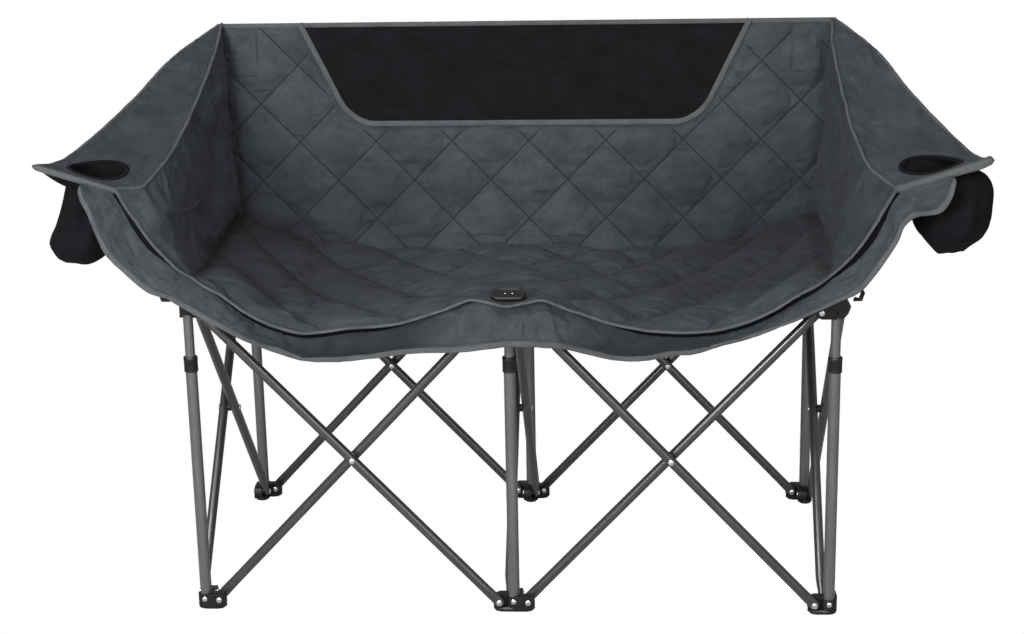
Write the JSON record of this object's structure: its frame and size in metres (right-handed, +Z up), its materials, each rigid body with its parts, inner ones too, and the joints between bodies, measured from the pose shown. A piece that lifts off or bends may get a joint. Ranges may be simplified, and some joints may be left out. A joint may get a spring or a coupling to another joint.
{
  "type": "folding camping loveseat",
  "caption": "Folding camping loveseat: scissor tube frame, quilted cloth seat and back, cloth arms with cup pockets.",
  "frame": {"origin": "on the ground under the middle of the overall width and depth, in the open position", "axes": "+Z up, +X to the right as seen from the front, +Y to the rear, so a sitter faces -Y"},
  "size_m": [1.5072, 0.6018, 0.9138],
  "materials": {
    "upright_steel": "satin grey powder coat",
    "bar_steel": "dark grey metallic coat with a soft shine",
    "black_plastic": "moulded black plastic with a light sheen",
    "grey_cloth": "dark grey woven polyester, quilted on seat and back",
    "black_cloth": "black woven polyester"
  },
  "bodies": {
    "front_left_foot_body": {"front_left_foot": "black_plastic", "front_left_lower_tube": "upright_steel", "front_left_ferrule": "black_plastic"},
    "front_left_hub_body": {"front_left_hub": "black_plastic", "front_left_upper_tube": "upright_steel", "left_side_panel": "grey_cloth", "left_arm_wing": "grey_cloth", "left_arm_skirt": "grey_cloth", "left_cup_bag": "black_cloth", "front_left_hook": "black_plastic"},
    "front_centre_foot_body": {"front_centre_foot": "black_plastic", "front_centre_lower_tube": "upright_steel", "front_centre_ferrule": "black_plastic"},
    "front_centre_hub_body": {"front_centre_hub": "black_plastic", "front_centre_upper_tube": "upright_steel", "front_centre_cap": "black_plastic", "front_skirt": "grey_cloth"},
    "front_right_foot_body": {"front_right_foot": "black_plastic", "front_right_lower_tube": "upright_steel", "front_right_ferrule": "black_plastic"},
    "front_right_hub_body": {"front_right_hub": "black_plastic", "front_right_upper_tube": "upright_steel", "right_side_panel": "grey_cloth", "right_arm_wing": "grey_cloth", "right_arm_skirt": "grey_cloth", "right_cup_bag": "black_cloth", "front_right_hook": "black_plastic"},
    "rear_left_foot_body": {"rear_left_foot": "black_plastic", "rear_left_lower_tube": "upright_steel", "rear_left_ferrule": "black_plastic"},
    "rear_left_hub_body": {"rear_left_hub": "black_plastic", "rear_left_upper_tube": "upright_steel"},
    "rear_centre_foot_body": {"rear_centre_foot": "black_plastic", "rear_centre_lower_tube": "upright_steel", "rear_centre_ferrule": "black_plastic"},
    "rear_centre_hub_body": {"rear_centre_hub": "black_plastic", "rear_centre_upper_tube": "upright_steel", "back_pad": "grey_cloth", "back_black_panel": "black_cloth"},
    "rear_right_foot_body": {"rear_right_foot": "black_plastic", "rear_right_lower_tube": "upright_steel", "rear_right_ferrule": "black_plastic"},
    "rear_right_hub_body": {"rear_right_hub": "black_plastic", "rear_right_upper_tube": "upright_steel"},
    "seat_front_body": {"seat_front_half": "grey_cloth"},
    "seat_rear_body": {"seat_rear_half": "grey_cloth"},
    "front_left_bay_near_bar": {"front_left_bay_near_bar": "bar_steel"},
    "front_left_bay_far_bar": {"front_left_bay_far_bar": "bar_steel"},
    "front_right_bay_near_bar": {"front_right_bay_near_bar": "bar_steel"},
    "front_right_bay_far_bar": {"front_right_bay_far_bar": "bar_steel"},
    "rear_left_bay_near_bar": {"rear_left_bay_near_bar": "bar_steel"},
    "rear_left_bay_far_bar": {"rear_left_bay_far_bar": "bar_steel"},
    "rear_right_bay_near_bar": {"rear_right_bay_near_bar": "bar_steel"},
    "rear_right_bay_far_bar": {"rear_right_bay_far_bar": "bar_steel"},
    "left_side_rear_rising_bar": {"left_side_rear_rising_bar": "bar_steel"},
    "left_side_front_rising_bar": {"left_side_front_rising_bar": "bar_steel"},
    "centre_side_rear_rising_bar": {"centre_side_rear_rising_bar": "bar_steel"},
    "centre_side_front_rising_bar": {"centre_side_front_rising_bar": "bar_steel"},
    "right_side_rear_rising_bar": {"right_side_rear_rising_bar": "bar_steel"},
    "right_side_front_rising_bar": {"right_side_front_rising_bar": "bar_steel"}
  },
  "joints": [
    {"name": "fold", "type": "hinge", "parent": "front_centre_foot_body", "child": "front_left_bay_near_bar", "pos_m": [-0.024, -0.24027, 0.017], "axis": [0, 1, 0], "range_deg": [0, 39], "deforming": ["seat_front_half", "seat_rear_half", "back_pad", "back_black_panel", "front_skirt", "left_side_panel", "left_arm_wing", "left_arm_skirt", "left_cup_bag", "right_side_panel", "right_arm_wing", "right_arm_skirt", "right_cup_bag"]},
    {"name": "front_right_bay_lift", "type": "hinge", "parent": "front_centre_foot_body", "child": "front_right_bay_far_bar", "pos_m": [0.024, -0.24027, 0.017], "axis": [0, -1, 0], "range_deg": [0, 39]},
    {"name": "centre_side_lift", "type": "hinge", "parent": "front_centre_foot_body", "child": "centre_side_rear_rising_bar", "pos_m": [0, -0.21627, 0.017], "axis": [1, 0, 0], "range_deg": [0, 39]},
    {"name": "front_left_bay_scissor", "type": "hinge", "parent": "front_left_bay_near_bar", "child": "front_left_bay_far_bar", "pos_m": [-0.26, -0.24027, 0.267], "axis": [0, -1, 0], "range_deg": [0, 78]},
    {"name": "front_right_bay_scissor", "type": "hinge", "parent": "front_right_bay_far_bar", "child": "front_right_bay_near_bar", "pos_m": [0.26, -0.24027, 0.267], "axis": [0, 1, 0], "range_deg": [0, 78]},
    {"name": "centre_side_scissor", "type": "hinge", "parent": "centre_side_rear_rising_bar", "child": "centre_side_front_rising_bar", "pos_m": [0, 0.01972, 0.267], "axis": [-1, 0, 0], "range_deg": [0, 78]},
    {"name": "front_left_foot_pivot", "type": "hinge", "parent": "front_left_bay_far_bar", "child": "front_left_foot_body", "pos_m": [-0.496, -0.24027, 0.017], "axis": [0, 1, 0], "range_deg": [0, 39]},
    {"name": "front_left_hub_pivot", "type": "hinge", "parent": "front_left_bay_near_bar", "child": "front_left_hub_body", "pos_m": [-0.496, -0.24027, 0.517], "axis": [0, -1, 0], "range_deg": [0, 39]},
    {"name": "front_centre_hub_pivot", "type": "hinge", "parent": "front_left_bay_far_bar", "child": "front_centre_hub_body", "pos_m": [-0.024, -0.24027, 0.517], "axis": [0, 1, 0], "range_deg": [0, 39]},
    {"name": "front_right_foot_pivot", "type": "hinge", "parent": "front_right_bay_near_bar", "child": "front_right_foot_body", "pos_m": [0.496, -0.24027, 0.017], "axis": [0, -1, 0], "range_deg": [0, 39]},
    {"name": "front_right_hub_pivot", "type": "hinge", "parent": "front_right_bay_far_bar", "child": "front_right_hub_body", "pos_m": [0.496, -0.24027, 0.517], "axis": [0, 1, 0], "range_deg": [0, 39]},
    {"name": "rear_centre_foot_pivot", "type": "hinge", "parent": "centre_side_front_rising_bar", "child": "rear_centre_foot_body", "pos_m": [0, 0.25572, 0.017], "axis": [1, 0, 0], "range_deg": [0, 39]},
    {"name": "rear_centre_hub_pivot", "type": "hinge", "parent": "centre_side_rear_rising_bar", "child": "rear_centre_hub_body", "pos_m": [0, 0.25572, 0.517], "axis": [-1, 0, 0], "range_deg": [0, 39]},
    {"name": "rear_left_bay_lift", "type": "hinge", "parent": "rear_centre_foot_body", "child": "rear_left_bay_near_bar", "pos_m": [-0.024, 0.27973, 0.017], "axis": [0, 1, 0], "range_deg": [0, 39]},
    {"name": "rear_right_bay_lift", "type": "hinge", "parent": "rear_centre_foot_body", "child": "rear_right_bay_far_bar", "pos_m": [0.024, 0.27973, 0.017], "axis": [0, -1, 0], "range_deg": [0, 39]},
    {"name": "rear_left_bay_scissor", "type": "hinge", "parent": "rear_left_bay_near_bar", "child": "rear_left_bay_far_bar", "pos_m": [-0.26, 0.27973, 0.267], "axis": [0, -1, 0], "range_deg": [0, 78]},
    {"name": "rear_right_bay_scissor", "type": "hinge", "parent": "rear_right_bay_far_bar", "child": "rear_right_bay_near_bar", "pos_m": [0.26, 0.27973, 0.267], "axis": [0, 1, 0], "range_deg": [0, 78]},
    {"name": "rear_left_foot_pivot", "type": "hinge", "parent": "rear_left_bay_far_bar", "child": "rear_left_foot_body", "pos_m": [-0.496, 0.27973, 0.017], "axis": [0, 1, 0], "range_deg": [0, 39]},
    {"name": "rear_left_hub_pivot", "type": "hinge", "parent": "rear_left_bay_near_bar", "child": "rear_left_hub_body", "pos_m": [-0.496, 0.27973, 0.517], "axis": [0, -1, 0], "range_deg": [0, 39]},
    {"name": "rear_right_foot_pivot", "type": "hinge", "parent": "rear_right_bay_near_bar", "child": "rear_right_foot_body", "pos_m": [0.496, 0.27973, 0.017], "axis": [0, -1, 0], "range_deg": [0, 39]},
    {"name": "rear_right_hub_pivot", "type": "hinge", "parent": "rear_right_bay_far_bar", "child": "rear_right_hub_body", "pos_m": [0.496, 0.27973, 0.517], "axis": [0, 1, 0], "range_deg": [0, 39]},
    {"name": "left_side_lift", "type": "hinge", "parent": "front_left_foot_body", "child": "left_side_rear_rising_bar", "pos_m": [-0.52, -0.21627, 0.017], "axis": [1, 0, 0], "range_deg": [0, 39]},
    {"name": "left_side_scissor", "type": "hinge", "parent": "left_side_rear_rising_bar", "child": "left_side_front_rising_bar", "pos_m": [-0.52, 0.01972, 0.267], "axis": [-1, 0, 0], "range_deg": [0, 78]},
    {"name": "right_side_lift", "type": "hinge", "parent": "front_right_foot_body", "child": "right_side_rear_rising_bar", "pos_m": [0.52, -0.21627, 0.017], "axis": [1, 0, 0], "range_deg": [0, 39]},
    {"name": "right_side_scissor", "type": "hinge", "parent": "right_side_rear_rising_bar", "child": "right_side_front_rising_bar", "pos_m": [0.52, 0.01972, 0.267], "axis": [-1, 0, 0], "range_deg": [0, 78]},
    {"name": "seat_front_fold", "type": "hinge", "parent": "front_centre_hub_body", "child": "seat_front_body", "pos_m": [0, -0.27627, 0.543], "axis": [1, 0, 0], "range_deg": [0, 84]},
    {"name": "seat_rear_fold", "type": "hinge", "parent": "rear_centre_hub_body", "child": "seat_rear_body", "pos_m": [0, 0.21573, 0.514], "axis": [-1, 0, 0], "range_deg": [0, 84]}
  ],
  "couplings": [
    {"joint": "front_right_bay_lift", "follows": "fold", "ratio": 1},
    {"joint": "centre_side_lift", "follows": "fold", "ratio": 1},
    {"joint": "front_left_bay_scissor", "follows": "fold", "ratio": 2},
    {"joint": "front_right_bay_scissor", "follows": "fold", "ratio": 2},
    {"joint": "centre_side_scissor", "follows": "fold", "ratio": 2},
    {"joint": "front_left_foot_pivot", "follows": "fold", "ratio": 1},
    {"joint": "front_left_hub_pivot", "follows": "fold", "ratio": 1},
    {"joint": "front_centre_hub_pivot", "follows": "fold", "ratio": 1},
    {"joint": "front_right_foot_pivot", "follows": "fold", "ratio": 1},
    {"joint": "front_right_hub_pivot", "follows": "fold", "ratio": 1},
    {"joint": "rear_centre_foot_pivot", "follows": "fold", "ratio": 1},
    {"joint": "rear_centre_hub_pivot", "follows": "fold", "ratio": 1},
    {"joint": "rear_left_bay_lift", "follows": "fold", "ratio": 1},
    {"joint": "rear_right_bay_lift", "follows": "fold", "ratio": 1},
    {"joint": "rear_left_bay_scissor", "follows": "fold", "ratio": 2},
    {"joint": "rear_right_bay_scissor", "follows": "fold", "ratio": 2},
    {"joint": "rear_left_foot_pivot", "follows": "fold", "ratio": 1},
    {"joint": "rear_left_hub_pivot", "follows": "fold", "ratio": 1},
    {"joint": "rear_right_foot_pivot", "follows": "fold", "ratio": 1},
    {"joint": "rear_right_hub_pivot", "follows": "fold", "ratio": 1},
    {"joint": "left_side_lift", "follows": "fold", "ratio": 1},
    {"joint": "left_side_scissor", "follows": "fold", "ratio": 2},
    {"joint": "right_side_lift", "follows": "fold", "ratio": 1},
    {"joint": "right_side_scissor", "follows": "fold", "ratio": 2},
    {"joint": "seat_front_fold", "follows": "fold", "ratio": 2.1538},
    {"joint": "seat_rear_fold", "follows": "fold", "ratio": 2.1538}
  ]
}
